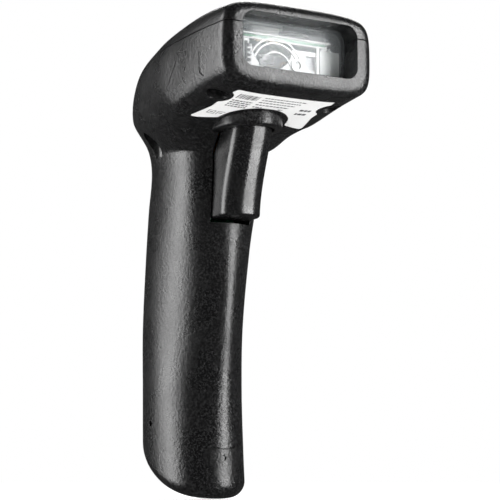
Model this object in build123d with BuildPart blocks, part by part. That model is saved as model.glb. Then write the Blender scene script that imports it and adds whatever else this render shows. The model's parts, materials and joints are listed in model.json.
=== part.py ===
"""Handheld barcode scanner: moulded shells, window, scan engine, trigger, boards and cord socket.

Millimetres, +Z up, nose towards -Y, handle end on Z = 0. Every sub-part is one STEP in parts/.
"""
from build123d import *
from math import cos, radians, sin
import os

os.makedirs("parts", exist_ok=True)

# ---- outer form: sections fan around the bend line between head and handle ----
NOSE_Y = -51.0                 # flat front face of the bezel
HEAD_HALF = 30.0               # half the width of the head
BEND_Y, BEND_Z = -15.0, 124.0  # bend line, parallel to X
HANDLE_HALF = 16.4             # half the width of the grip
END_RADIUS, END_Y = 56.0, 2.0  # curve of the handle's slanted end, and its lowest place
NOSE_ROUND = 4.0
END_ROUND, END_SINK = 5.5, 0.4  # the rounding lifts the lowest place by END_SINK
WALL = 2.2                     # shell thickness
SEAM_GAP = 0.3                 # line between two shells
FIT = 0.05                     # radial clearance of a piece that turns or slides
LOOSE = 0.3                    # clearance around a loose piece
GROOVE = 0.5                   # depth of witness lines and dimples
FAR = 160.0                    # reaches past the whole object

# ---- seams ----
TOP_SEAM_Z, TOP_SEAM_RADIUS = BEND_Z + 36.7, 74.0
TOP_SEAM_BEND_Y = BEND_Y + 4   # the level seam starts to fall here
TOP_SEAM_TURN = 65.0           # degrees of fall

# ---- bezel opening and window ----
OPENING_W, OPENING_H, OPENING_ROUND = 46.5, 19.2, 4.4
OPENING_Z = BEND_Z + 31.5
TUNNEL_DEPTH, TUNNEL_WALL = 8.0, 2.4
PANE_LIP = 1.3                 # how far the pane reaches behind the tunnel wall
GASKET_LIP, RETAINER_LIP = 0.2, 0.4
GASKET_T, PANE_T, RETAINER_T = 0.6, 1.5, 1.2

# ---- scan engine ----
ENGINE_LEFT, ENGINE_RIGHT, ENGINE_D = -16.0, 18.0, 21.0
ENGINE_GAP = 0.8               # from window retainer to engine
ENGINE_FLOOR_Z, CHASSIS_T = BEND_Z + 23, 1.8
ENGINE_H = 12.4                # floor to the underside of the engine board
FACE_H, FACE_T = 10.0, 1.4     # chassis face behind the window
FACE_REACH = 5.4               # the face is this much wider than the engine on the right
COLUMN = 2.2
ENGINE_BOARD_T = 1.2
GROMMET_T = 1.2
POST_R = 3.0
MIRROR_W, MIRROR_T, MIRROR_H = 9.0, 0.9, 6.6
MIRROR_TURN = 38.0             # degrees from facing the window
CARRIER_R, MIRROR_PIN_R = 1.3, 0.5
MAGNET = 2.4
COIL_OUT_R, COIL_IN_R, COIL_T = 2.9, 1.2, 2.0
BARREL_R, BARREL_L, BARREL_X = 2.6, 9.0, 7.0
LENS_R, LENS_T = 1.6, 0.8
DISH_R, DISH_T, DISH_W = 20.0, 4.0, 11.0   # concave collecting mirror
EYE_W, EYE_T, EYE_H = 6.0, 1.6, 5.0
FILTER_T = 0.8

# ---- shell screws ----
SCREW_R, SCREW_PLAY = 1.4, 0.2
SCREW_HEAD_R, SCREW_HEAD_H = 2.9, 1.9
SCREW_GRIP = 9.0               # screw length inside the top cover's bosses
TIP_GAP = 0.5                  # hole left past a screw's tip
CROSS_W, CROSS_D = 0.8, 1.1    # cross recess in a shell screw's head
SMALL_SCREW_R, SMALL_HEAD_R, SMALL_HEAD_H = 1.0, 2.0, 1.3
SMALL_SCREW_L = 8.0
FRONT_SPOTS = [(-HEAD_HALF + 6.5, NOSE_Y + 17.3), (HEAD_HALF - 6.5, NOSE_Y + 17.3)]
REAR_SPOTS = [(-HEAD_HALF + 10.5, BEND_Y + 38), (HEAD_HALF - 10.5, BEND_Y + 38)]
POCKET_R, POCKET_WALL, POCKET_FLOOR = 3.8, 1.4, 2.6
FRONT_POCKET_LOW, FRONT_POCKET_TOP = BEND_Z + 6, BEND_Z + 19.5
REAR_POCKET_LOW, REAR_POCKET_TOP = BEND_Z + 2.5, BEND_Z + 16
BOSS_R = 3.2

# ---- trigger ----
TRIGGER_W, TRIGGER_ROUND = 15.6, 6.2
PIVOT_Y, PIVOT_Z = BEND_Y - 1.5, BEND_Z + 18
TRIGGER_L = 41.0               # from the pin's axis down to the lever's end
TRIGGER_BACK_Y = PIVOT_Y + 16.3
HUB_R, PIN_R = 3.3, 1.25
SLOT_GAP = 0.45                # trigger to slot, each side
SLOT_END_GAP = 1.4             # open space under the lever
SADDLE_T, SADDLE_D, SADDLE_H, SADDLE_TOP = 2.0, 6.0, 18.0, 4.4
REST_LOW, REST_T = 3.1, 1.8    # bar between the saddles that the spring's upper leg leans on
COLLAR_R, COLLAR_Y, COLLAR_Z, COLLAR_ROUND = 11.8, BEND_Y - 0.5, BEND_Z + 7.8, 1.2
COIL_NOTCH = 3.2               # half width of the hub's notch for the spring
NOTCH_H, NOTCH_Y = 6.6, 1.0
COIL_R, WIRE_R, COIL_TURNS = 1.9, 0.3, 4
LEG_UP, LEG_DOWN = 4.2, 5.6
BEND_SWELL = 0.04              # the wire is this much thicker where a leg leaves the coil
SWITCH_Z, SWITCH_FREE = PIVOT_Z - 29, 1.35
PAD_R = 2.0

# ---- main board and cord socket ----
BOARD_Y, BOARD_T, BOARD_W = BEND_Y + 30, 1.6, 21.0
BOARD_LOW, BOARD_HIGH, BOARD_ROUND = 10.8, BEND_Z - 4, 1.5
BOARD_POSTS = (46.0, 90.0)
BOARD_POST_R = 2.8
SWITCH_BODY, SWITCH_H = 6.0, 3.0
PLUNGER_R, PLUNGER_OUT, PLUNGER_IN = 1.6, 1.2, 1.8
SWITCH_TRAVEL, SWITCH_SPARE = 0.3, 0.1
BEEPER_R, BEEPER_H, BEEPER_Z = 6.0, 4.5, BOARD_HIGH - 16
CHIPS = [(0, 70, 9, 9, 1.2), (-5.5, 57, 6, 5, 1.1), (5.5, 56, 5, 7, 1.1), (4, 36.5, 6, 5, 1.1)]
CAPACITORS = [(-7.5, 72), (-7.5, 68), (7.5, 72), (7.5, 68), (-6.5, 80), (6.5, 80)]
JACK_W, JACK_D, JACK_H = 15.0, 13.0, 18.5
SOCKET_W, SOCKET_D, SOCKET_DEEP = 11.8, 7.4, 15.0
SOCKET_MOUTH = 2.0             # the hole in the skin is this much larger than the socket
CONTACTS, CONTACT_PITCH = 8, 1.27
CONTACT_W, CONTACT_T, CONTACT_H = 0.4, 0.8, 9.0
RELEASE_R, RELEASE_Y, RELEASE_Z = 1.1, BEND_Y + 45, 27.5
RIBBON_W, RIBBON_T = 9.0, 0.3

# ---- label, lamp and marks ----
LABEL_T, LABEL_SINK, LABEL_GAP = 0.2, 0.12, 0.35
LABEL_MARGIN, LABEL_ROUND = 2.0, 0.8
LABEL_FRONT, LABEL_BACK, LABEL_TIP = NOSE_Y + 9, BEND_Y - 2.5, BEND_Y + 2.5
LINE_W = 0.35
SLIT_W, SLIT_BOW, SLIT_Z, DIMPLE_Z, DIMPLE_R = 10.0, 0.8, 17.8, 14.6, 1.0
WITNESS_Y = NOSE_Y + 17
LAMP_Y, LAMP_L, LAMP_W = NOSE_Y + 26, 13.0, 4.0
FLANGE, FLANGE_T = 1.2, 1.2
LED = 1.6

# ---- places worked out from the values above ----
TUNNEL_END = NOSE_Y + TUNNEL_DEPTH
PANE_Y = TUNNEL_END + GASKET_T
RETAINER_Y = PANE_Y + PANE_T
ENGINE_Y = RETAINER_Y + RETAINER_T + ENGINE_GAP
ENGINE_BACK_Y = ENGINE_Y + ENGINE_D
ENGINE_X = (ENGINE_LEFT + ENGINE_RIGHT) / 2
ENGINE_W = ENGINE_RIGHT - ENGINE_LEFT
DECK_Z = ENGINE_FLOOR_Z + CHASSIS_T
ENGINE_BOARD_Z = ENGINE_FLOOR_Z + ENGINE_H
ENGINE_POSTS = [(ENGINE_LEFT + 2.6, ENGINE_BACK_Y - 4.6), (ENGINE_RIGHT - 2.6, ENGINE_BACK_Y - 4.6),
                (1.0, ENGINE_Y + 4.6)]
MIRROR_X, MIRROR_Y = -4.5, ENGINE_Y + 11.4
BEAM_Z = DECK_Z + 4.2
BOARD_BACK = BOARD_Y + BOARD_T
SOCKET_Y = BOARD_BACK + JACK_D / 2 + 0.6
SADDLE_X = TRIGGER_W / 2 + SLOT_GAP
TRIGGER_END_Z = PIVOT_Z - TRIGGER_L
SWITCH_FACE = BOARD_Y - SWITCH_H - PLUNGER_OUT
COIL_PITCH = 3 * WIRE_R
COIL_REACH = COIL_PITCH * COIL_TURNS / 2
SPOTS = ((FRONT_SPOTS, FRONT_POCKET_LOW, FRONT_POCKET_TOP), (REAR_SPOTS, REAR_POCKET_LOW, REAR_POCKET_TOP))
BOARD_MIDDLE_Z = (BOARD_LOW + BOARD_HIGH) / 2


def head_plane(y):
    return Plane(origin=(0, y, BEND_Z), x_dir=(1, 0, 0), z_dir=(0, -1, 0))


def neck_plane(angle):
    turn = radians(angle)
    return Plane(origin=(0, BEND_Y, BEND_Z), x_dir=(1, 0, 0), z_dir=(0, -cos(turn), sin(turn)))


def handle_plane(drop):
    return Plane(origin=(0, BEND_Y, BEND_Z - drop), x_dir=(1, 0, 0), z_dir=(0, 0, 1))


def facing_front(y, x=0.0, z=0.0):
    """Plane across Y, looked at from the nose: +X right, +Z up, growing towards -Y."""
    return Plane(origin=(x, y, z), x_dir=(1, 0, 0), z_dir=(0, -1, 0))


def sections(inset):
    """Plane, near and far edge from the bend line, half width, how far out the widest point
    lies, and how square the near and far corners are."""
    head, grip = HEAD_HALF, HANDLE_HALF
    return (
        (head_plane(NOSE_Y + inset), 15.4, 45.4, head, 0.49, 0.97, 0.98),
        (head_plane(NOSE_Y + 18), 13.5, 47.0, head + 1.0, 0.43, 0.95, 0.92),
        (neck_plane(0), 10.5, 46.9, head + 1.1, 0.40, 0.95, 0.88),
        (neck_plane(25), 10.5, 49.6, head + 1.0, 0.42, 0.90, 0.80),
        (neck_plane(50), 10.5, 58.2, head - 0.9, 0.52, 0.82, 0.74),
        (neck_plane(70), 10.5, 62.6, (head + grip) / 2 + 1.8, 0.56, 0.76, 0.70),
        (neck_plane(82), 10.5, 58.4, grip + 1.7, 0.55, 0.72, 0.70),
        (neck_plane(92), 10.5, 56.7, grip + 0.7, 0.53, 0.72, 0.70),
        (handle_plane(16), 11.1, 60.4, grip + 0.4, 0.53, 0.70, 0.68),
        (handle_plane(32), 12.2, 63.6, grip, 0.56, 0.60, 0.64),
        (handle_plane(60), 15.3, 65.9, grip - 0.3, 0.58, 0.53, 0.64),
        (handle_plane(84), 18.3, 64.9, grip, 0.55, 0.56, 0.64),
        (handle_plane(BEND_Z - 17), 18.4, 64.1, grip, 0.55, 0.62, 0.64),
        (handle_plane(BEND_Z + 2), 17.4, 63.0, grip - 0.4, 0.52, 0.66, 0.66),
    )


def section_points(plane, near, far, half, widest, near_full, far_full, inset):
    """Control points of one closed section: four cubic quarters, end to end."""
    low, high, side = near + inset, far - inset, half - inset
    middle = low + (high - low) * widest
    rise, fall = far_full * (high - middle), near_full * (middle - low)
    right = [(0, low), (near_full * side, low), (side, middle - fall), (side, middle)]
    right += [(side, middle + rise), (far_full * side, high), (0, high)]
    left = [(-x, y) for x, y in reversed(right)]
    return [plane.from_local_coords(Vector(x, y, 0)) for x, y in right + left[1:]]


def skinned_solid(rows):
    """Solid whose skin runs smoothly through every row of section points, flat at both ends."""
    steps = [(b[3] - a[3]).length + (b[6] - a[6]).length + (b[9] - a[9]).length
             for a, b in zip(rows, rows[1:])]
    slopes = []
    for i in range(len(rows)):
        before, after = max(i - 1, 0), min(i + 1, len(rows) - 1)
        length = sum(steps[before:after])
        slopes.append([(b - a) / length for a, b in zip(rows[before], rows[after])])
    faces = []
    for i, step in enumerate(steps):
        leave = [p + slope * (step / 3) for p, slope in zip(rows[i], slopes[i])]
        arrive = [p - slope * (step / 3) for p, slope in zip(rows[i + 1], slopes[i + 1])]
        for quarter in range(0, 12, 3):
            net = [row[quarter:quarter + 4] for row in (rows[i], leave, arrive, rows[i + 1])]
            faces.append(Face.make_bezier_surface(net))
    for row in (rows[0], rows[-1]):
        faces.append(Face(Wire([Edge.make_bezier(*row[q:q + 4]) for q in range(0, 12, 3)])))
    return Solid(Shell(faces))


def body_form(inset, rounds=False):
    """The scanner's outer form as a solid, shrunk by inset."""
    with BuildPart() as form:
        add(skinned_solid([section_points(*shape, inset) for shape in reversed(sections(inset))]))
        with BuildSketch(Plane.YZ):
            with Locations((END_Y, END_RADIUS / 2 - 10)):
                Rectangle(4 * END_RADIUS, END_RADIUS + 20)
            with Locations((END_Y, END_RADIUS - END_SINK)):
                Circle(END_RADIUS - inset, mode=Mode.SUBTRACT)
        extrude(amount=FAR, both=True, mode=Mode.SUBTRACT)
        if rounds:
            fillet(form.edges().group_by(Axis.Y)[0], NOSE_ROUND)
            fillet(form.edges().group_by(Axis.Z)[0], END_ROUND)
    return form.part


def above_top_seam(shift):
    """Everything above the top seam, moved up by shift."""
    radius, level = TOP_SEAM_RADIUS + shift, TOP_SEAM_Z + shift
    turn = radians(TOP_SEAM_TURN)
    bend = (TOP_SEAM_BEND_Y, level)
    end = (TOP_SEAM_BEND_Y + radius * sin(turn), level - radius + radius * cos(turn))
    with BuildPart() as region:
        with BuildSketch(Plane.YZ):
            with BuildLine():
                Line((-FAR, level), bend)
                TangentArc(bend, end, tangent=(1, 0))
                Polyline(end, (FAR, end[1]), (FAR, 2 * FAR), (-FAR, 2 * FAR), (-FAR, level))
            make_face()
        extrude(amount=FAR, both=True)
    return region.part


def behind_side_seam(shift):
    """Everything behind the seam between the front and rear housings, moved back by shift."""
    head_route = [(-8.5, 36.7), (-4.9, 32.7), (2.2, 24.0), (8.5, 18.5), (16.0, 14.8), (22.3, 10.3),
                  (28.5, 6.8)]
    grip_route = [(32.0, 2.0), (35.5, -1.5), (42.0, -5.5), (49.0, -12.0), (52.5, -21.0), (53.8, -40.0),
                  (54.0, -64.0), (54.0, -BEND_Z - 10)]
    points = [(BEND_Y + y + shift, BEND_Z + z) for y, z in head_route + grip_route]
    start = (points[0][0] - 20, points[0][1] + 16)
    with BuildPart() as region:
        with BuildSketch(Plane.YZ):
            with BuildLine():
                Line(start, points[0])
                Spline(*points)
                Polyline(points[-1], (FAR, points[-1][1]), (FAR, start[1]), start)
            make_face()
        extrude(amount=FAR, both=True)
    return region.part


OUTER = body_form(0.0, rounds=True)
CAVITY = body_form(WALL)
ROOM = body_form(WALL + LOOSE)         # what a loose piece inside may fill
UNDER_GROOVE = body_form(GROOVE)


def save(piece, name):
    piece.label = name
    export_step(piece, f"parts/{name}.step")


def window_slab(y, depth, grow, round_grow):
    """Rounded slab in the window's shape, grown all round, from y backwards."""
    with BuildPart() as slab:
        with BuildSketch(facing_front(y, z=OPENING_Z)):
            RectangleRounded(OPENING_W + 2 * grow, OPENING_H + 2 * grow, OPENING_ROUND + round_grow)
        extrude(amount=-depth)
    return slab.part


def inner_walls():
    """Bezel tunnel and the tubes around the four screw pockets, trimmed to the skin."""
    with BuildPart() as walls:
        add(window_slab(NOSE_Y, TUNNEL_DEPTH, TUNNEL_WALL, TUNNEL_WALL))
        for spots, low, top in SPOTS:
            with BuildSketch(Plane.XY.offset(low)):
                with Locations(*spots):
                    Circle(POCKET_R + POCKET_WALL)
            extrude(amount=top + POCKET_FLOOR - low)
        add(OUTER, mode=Mode.INTERSECT)
    return walls.part


def common_shell():
    """Hollow skin with the bezel tunnel and the four screw pockets, before it is split."""
    with BuildPart() as shell:
        add(OUTER)
        add(CAVITY, mode=Mode.SUBTRACT)
        add(inner_walls())
        add(window_slab(NOSE_Y - 5, TUNNEL_DEPTH + 10, 0, 0), mode=Mode.SUBTRACT)
        for spots, low, top in SPOTS:
            for radius, height in ((POCKET_R, top - low), (SCREW_R + SCREW_PLAY, top + POCKET_FLOOR - low)):
                with BuildSketch(Plane.XY.offset(low)):
                    with Locations(*spots):
                        Circle(radius)
                extrude(amount=height, mode=Mode.SUBTRACT)
    return shell.part


SHELL = common_shell()


def roof_bosses():
    """Screw bosses that hang from the roof down to the pocket tubes of the housings."""
    with BuildPart() as bosses:
        for spots, low, top in SPOTS:
            with BuildSketch(Plane.XY.offset(top + POCKET_FLOOR + SEAM_GAP)):
                with Locations(*spots):
                    Circle(BOSS_R)
            extrude(amount=FAR)
        add(OUTER, mode=Mode.INTERSECT)
    return bosses.part


def top_cover():
    with BuildPart() as cover:
        add(SHELL)
        add(above_top_seam(SEAM_GAP / 2), mode=Mode.INTERSECT)
        add(roof_bosses())
        for spots, low, top in SPOTS:
            with BuildSketch(Plane.XY.offset(top + POCKET_FLOOR)):
                with Locations(*spots):
                    Circle(SCREW_R)
            extrude(amount=SCREW_GRIP, mode=Mode.SUBTRACT)
        with BuildSketch(Plane.XY.offset(BEND_Z)):
            with Locations((0, LAMP_Y)):
                SlotOverall(LAMP_L, LAMP_W)
        extrude(amount=FAR, mode=Mode.SUBTRACT)
    save(cover.part, "top_cover")


def rear_housing():
    with BuildPart() as rear:
        add(SHELL)
        add(above_top_seam(-SEAM_GAP / 2), mode=Mode.SUBTRACT)
        add(behind_side_seam(SEAM_GAP / 2), mode=Mode.INTERSECT)
    save(rear.part, "rear_housing")


def trigger_slot():
    """What is cut out of the front housing for the moving trigger."""
    front, back = COLLAR_Y - TRIGGER_W / 2 - SLOT_GAP, TRIGGER_BACK_Y + 4
    low, high = TRIGGER_END_Z - SLOT_END_GAP, PIVOT_Z
    with BuildPart() as slot:
        with BuildSketch(Plane.YZ):
            with Locations(((front + back) / 2, (low + high) / 2)):
                Rectangle(back - front, high - low)
        extrude(amount=SADDLE_X, both=True)
        fillet(slot.edges().filter_by(Axis.Z).group_by(Axis.Y)[0], TRIGGER_ROUND)
    return slot.part


def collar():
    """Raised arch around the trigger where it enters the head."""
    with BuildPart() as arch:
        with BuildSketch(Plane.XY.offset(COLLAR_Z)):
            with Locations((0, COLLAR_Y)):
                Circle(COLLAR_R)
            with Locations((0, COLLAR_Y + COLLAR_R / 2)):
                Rectangle(2 * COLLAR_R, COLLAR_R)
        extrude(amount=PIVOT_Z - COLLAR_Z)
        fillet(arch.edges().group_by(Axis.Z)[0], COLLAR_ROUND)
        add(CAVITY, mode=Mode.SUBTRACT)
    return arch.part


def housing_seats():
    """Posts, pin saddles and the spring's rest inside the front housing, trimmed to its skin."""
    with BuildPart() as seats:
        with BuildSketch(Plane.XY.offset(ENGINE_FLOOR_Z - GROMMET_T)):
            with Locations(*ENGINE_POSTS):
                Circle(POST_R)
        extrude(amount=-SADDLE_H)
        for z in BOARD_POSTS:
            with BuildSketch(facing_front(BOARD_Y, z=z)):
                Circle(BOARD_POST_R)
            extrude(amount=BOARD_Y - BEND_Y)
        for side in (-1, 1):
            with BuildSketch(Plane.YZ.offset(side * SADDLE_X)):
                with Locations((PIVOT_Y, PIVOT_Z + SADDLE_TOP - SADDLE_H / 2)):
                    Rectangle(SADDLE_D, SADDLE_H)
            extrude(amount=side * SADDLE_T)
        with BuildSketch(Plane.YZ):
            with Locations((PIVOT_Y + COIL_R + WIRE_R + REST_T / 2, PIVOT_Z + (REST_LOW + SADDLE_TOP) / 2)):
                Rectangle(REST_T, SADDLE_TOP - REST_LOW)
        extrude(amount=SADDLE_X + SADDLE_T, both=True)
        add(OUTER, mode=Mode.INTERSECT)
    return seats.part


def skin_marks():
    """Shallow marks in the skin: end slit and dimple, and a witness line on each side of the head."""
    with BuildPart() as marks:
        with BuildSketch(facing_front(NOSE_Y)):
            with BuildLine():
                ThreePointArc((-SLIT_W / 2, SLIT_Z + SLIT_BOW), (0, SLIT_Z), (SLIT_W / 2, SLIT_Z + SLIT_BOW))
            trace(line_width=LINE_W)
            with Locations((0, DIMPLE_Z)):
                Circle(DIMPLE_R)
        extrude(amount=NOSE_Y - BOARD_Y)
        with BuildSketch(Plane.YZ):
            with BuildLine():
                Polyline((WITNESS_Y, OPENING_Z - 2.5), (WITNESS_Y, OPENING_Z - 10),
                         (WITNESS_Y - 2, OPENING_Z - 11.5))
            trace(line_width=LINE_W)
        extrude(amount=FAR, both=True)
        add(UNDER_GROOVE, mode=Mode.SUBTRACT)
    return marks.part


def label_slab(grow, upper, lower):
    """The label's plan between two depths of skin: notched by the pockets and the trigger collar."""
    side = HEAD_HALF - 10.5
    right = [(side, LABEL_FRONT), (side + 1, LABEL_FRONT + 5), (side + 1, LABEL_BACK - 7),
             (side + 4, LABEL_TIP), (COLLAR_R, LABEL_BACK)]
    plan = right + [(-x, y) for x, y in reversed(right)]
    with BuildPart() as slab:
        with BuildSketch(Plane.XY.offset(BEND_Z)):
            Polygon(*plan, align=None)
            with Locations(*FRONT_SPOTS):
                Circle(POCKET_R + LABEL_MARGIN, mode=Mode.SUBTRACT)
            with Locations((0, COLLAR_Y)):
                Circle(COLLAR_R + LABEL_MARGIN, mode=Mode.SUBTRACT)
            offset(amount=-LABEL_ROUND)
            offset(amount=LABEL_ROUND + grow)
        extrude(amount=OPENING_Z - BEND_Z)
        add(body_form(upper), mode=Mode.INTERSECT)
        add(body_form(lower), mode=Mode.SUBTRACT)
    return slab.part


def front_housing():
    with BuildPart() as front:
        add(SHELL)
        add(collar())
        add(housing_seats())
        add(above_top_seam(-SEAM_GAP / 2), mode=Mode.SUBTRACT)
        add(behind_side_seam(-SEAM_GAP / 2), mode=Mode.SUBTRACT)
        add(trigger_slot(), mode=Mode.SUBTRACT)
        add(skin_marks(), mode=Mode.SUBTRACT)
        add(label_slab(LABEL_GAP, -GROOVE, LABEL_T + LABEL_SINK), mode=Mode.SUBTRACT)
        with BuildSketch(Plane.YZ):
            with Locations((PIVOT_Y, PIVOT_Z)):
                Circle(PIN_R)
        extrude(amount=SADDLE_X + SADDLE_T, both=True, mode=Mode.SUBTRACT)
        with BuildSketch(Plane.XY.offset(ENGINE_FLOOR_Z)):
            with Locations(*ENGINE_POSTS):
                Circle(SMALL_SCREW_R)
        extrude(amount=-SMALL_SCREW_L, mode=Mode.SUBTRACT)
        for z in BOARD_POSTS:
            with BuildSketch(facing_front(BOARD_Y, z=z)):
                Circle(SMALL_SCREW_R)
            extrude(amount=SMALL_SCREW_L, mode=Mode.SUBTRACT)
        with BuildSketch(Plane.YZ.offset(-JACK_W / 2)):
            with Locations((RELEASE_Y, RELEASE_Z)):
                Circle(RELEASE_R)
        extrude(amount=-HEAD_HALF, mode=Mode.SUBTRACT)
        with BuildSketch(Plane.XY):
            with Locations((0, SOCKET_Y)):
                RectangleRounded(SOCKET_W + SOCKET_MOUTH, SOCKET_D + SOCKET_MOUTH, SOCKET_MOUTH / 2)
        extrude(amount=BOARD_LOW, mode=Mode.SUBTRACT)
    save(front.part, "front_housing")


def window_parts():
    with BuildPart() as gasket:
        add(window_slab(TUNNEL_END, GASKET_T, PANE_LIP, PANE_LIP))
        add(window_slab(TUNNEL_END, GASKET_T, GASKET_LIP, GASKET_LIP), mode=Mode.SUBTRACT)
        add(ROOM, mode=Mode.INTERSECT)
    save(gasket.part, "window_gasket")

    with BuildPart() as pane:
        add(window_slab(PANE_Y, PANE_T, PANE_LIP, PANE_LIP))
        add(ROOM, mode=Mode.INTERSECT)
    save(pane.part, "window_pane")

    with BuildPart() as retainer:
        add(window_slab(RETAINER_Y, RETAINER_T, PANE_LIP, PANE_LIP))
        add(window_slab(RETAINER_Y, RETAINER_T, -RETAINER_LIP, 0), mode=Mode.SUBTRACT)
        add(ROOM, mode=Mode.INTERSECT)
    save(retainer.part, "window_retainer")


def label():
    save(label_slab(0, LABEL_SINK, LABEL_T + LABEL_SINK), "label")


def light_pipe():
    """Clear slot in the roof with a flange under it that can't pull through."""
    with BuildPart() as flange:
        with BuildSketch(Plane.XY.offset(ENGINE_BOARD_Z + ENGINE_BOARD_T + 3)):
            with Locations((0, LAMP_Y)):
                SlotOverall(LAMP_L + 2 * FLANGE, LAMP_W + 2 * FLANGE)
        extrude(amount=FAR)
        add(body_form(WALL + FIT), mode=Mode.INTERSECT)
        add(body_form(WALL + FIT + FLANGE_T), mode=Mode.SUBTRACT)
    with BuildPart() as pipe:
        with BuildSketch(Plane.XY.offset(ENGINE_BOARD_Z + ENGINE_BOARD_T + 3)):
            with Locations((0, LAMP_Y)):
                SlotOverall(LAMP_L - 2 * FIT, LAMP_W - 2 * FIT)
        extrude(amount=FAR)
        add(OUTER, mode=Mode.INTERSECT)
        add(flange.part)
    save(pipe.part, "light_pipe")


def trigger():
    """Finger lever with its hub on the pin, a notch for the spring and a pad for the switch."""
    reach = ((-7.1, -4), (-4.7, -15), (-0.3, -27), (2.7, -TRIGGER_L))
    front = [(PIVOT_Y + y, PIVOT_Z + z) for y, z in reach]
    with BuildPart() as lever:
        with BuildSketch(Plane.YZ):
            with BuildLine():
                Spline(*front)
                Polyline(front[-1], (TRIGGER_BACK_Y, TRIGGER_END_Z), (TRIGGER_BACK_Y, PIVOT_Z - 21),
                         (PIVOT_Y + HUB_R, PIVOT_Z - HUB_R), (PIVOT_Y + HUB_R, PIVOT_Z),
                         (PIVOT_Y - HUB_R, PIVOT_Z), front[0])
            make_face()
        extrude(amount=TRIGGER_W / 2, both=True)
        fillet(lever.edges().filter_by(GeomType.BSPLINE), TRIGGER_ROUND)
        fillet(lever.faces().sort_by(Axis.Z)[0].edges(), COLLAR_ROUND)
        with BuildSketch(Plane.YZ):
            with Locations((PIVOT_Y, PIVOT_Z)):
                Circle(HUB_R)
        extrude(amount=TRIGGER_W / 2, both=True)
        with BuildSketch(facing_front(SWITCH_FACE - SWITCH_FREE, z=SWITCH_Z)):
            Circle(PAD_R)
        extrude(amount=SWITCH_FACE - SWITCH_FREE - TRIGGER_BACK_Y)
        with BuildSketch(Plane.YZ):
            with Locations((PIVOT_Y, PIVOT_Z)):
                Circle(PIN_R + FIT)
        extrude(amount=TRIGGER_W, both=True, mode=Mode.SUBTRACT)
        with BuildSketch(Plane.YZ):
            with Locations((PIVOT_Y, PIVOT_Z)):
                Circle(HUB_R + GROOVE)
            with Locations((PIVOT_Y + NOTCH_Y + HUB_R, PIVOT_Z - NOTCH_H / 2)):
                Rectangle(2 * HUB_R, NOTCH_H)
        extrude(amount=COIL_NOTCH, both=True, mode=Mode.SUBTRACT)
    save(lever.part, "trigger")

    with BuildPart() as pin:
        with BuildSketch(Plane.YZ):
            with Locations((PIVOT_Y, PIVOT_Z)):
                Circle(PIN_R)
        extrude(amount=SADDLE_X + SADDLE_T, both=True)
        chamfer(pin.edges(), PIN_R / 5)
    save(pin.part, "trigger_pin")


def trigger_spring():
    """Torsion spring on the pin: one leg leans on the housing's bar, one follows the lever's notch."""
    with BuildLine() as turns:
        Helix(pitch=COIL_PITCH, height=2 * COIL_REACH, radius=COIL_R)
    seat = Plane(origin=(-COIL_REACH, PIVOT_Y, PIVOT_Z), x_dir=(0, 1, 0), z_dir=(1, 0, 0))
    coil = seat.from_local_coords(turns.line)
    with BuildPart() as spring:
        with BuildSketch(Plane(origin=coil @ 0, z_dir=coil % 0)):
            Circle(WIRE_R)
        sweep(path=coil)
        for side, length in ((-1, LEG_DOWN), (1, LEG_UP)):
            with BuildSketch(Plane.XY.offset(PIVOT_Z)):
                with Locations((side * COIL_REACH, PIVOT_Y + COIL_R)):
                    Circle(WIRE_R)
            extrude(amount=side * length)
            with Locations((side * COIL_REACH, PIVOT_Y + COIL_R, PIVOT_Z)):
                Sphere(WIRE_R + BEND_SWELL)
    save(spring.part, "trigger_spring")


def switch():
    with BuildPart() as body:
        with BuildSketch(facing_front(BOARD_Y, z=SWITCH_Z)):
            Rectangle(SWITCH_BODY, SWITCH_BODY)
        extrude(amount=SWITCH_H)
        bottom = PLUNGER_IN + SWITCH_TRAVEL + SWITCH_SPARE
        with BuildSketch(facing_front(BOARD_Y - SWITCH_H + bottom, z=SWITCH_Z)):
            Circle(PLUNGER_R + FIT)
        extrude(amount=SWITCH_BODY, mode=Mode.SUBTRACT)
    save(body.part, "switch_body")

    with BuildPart() as plunger:
        with BuildSketch(facing_front(BOARD_Y - SWITCH_H + PLUNGER_IN, z=SWITCH_Z)):
            Circle(PLUNGER_R)
        extrude(amount=PLUNGER_IN + PLUNGER_OUT)
    save(plunger.part, "switch_plunger")


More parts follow.
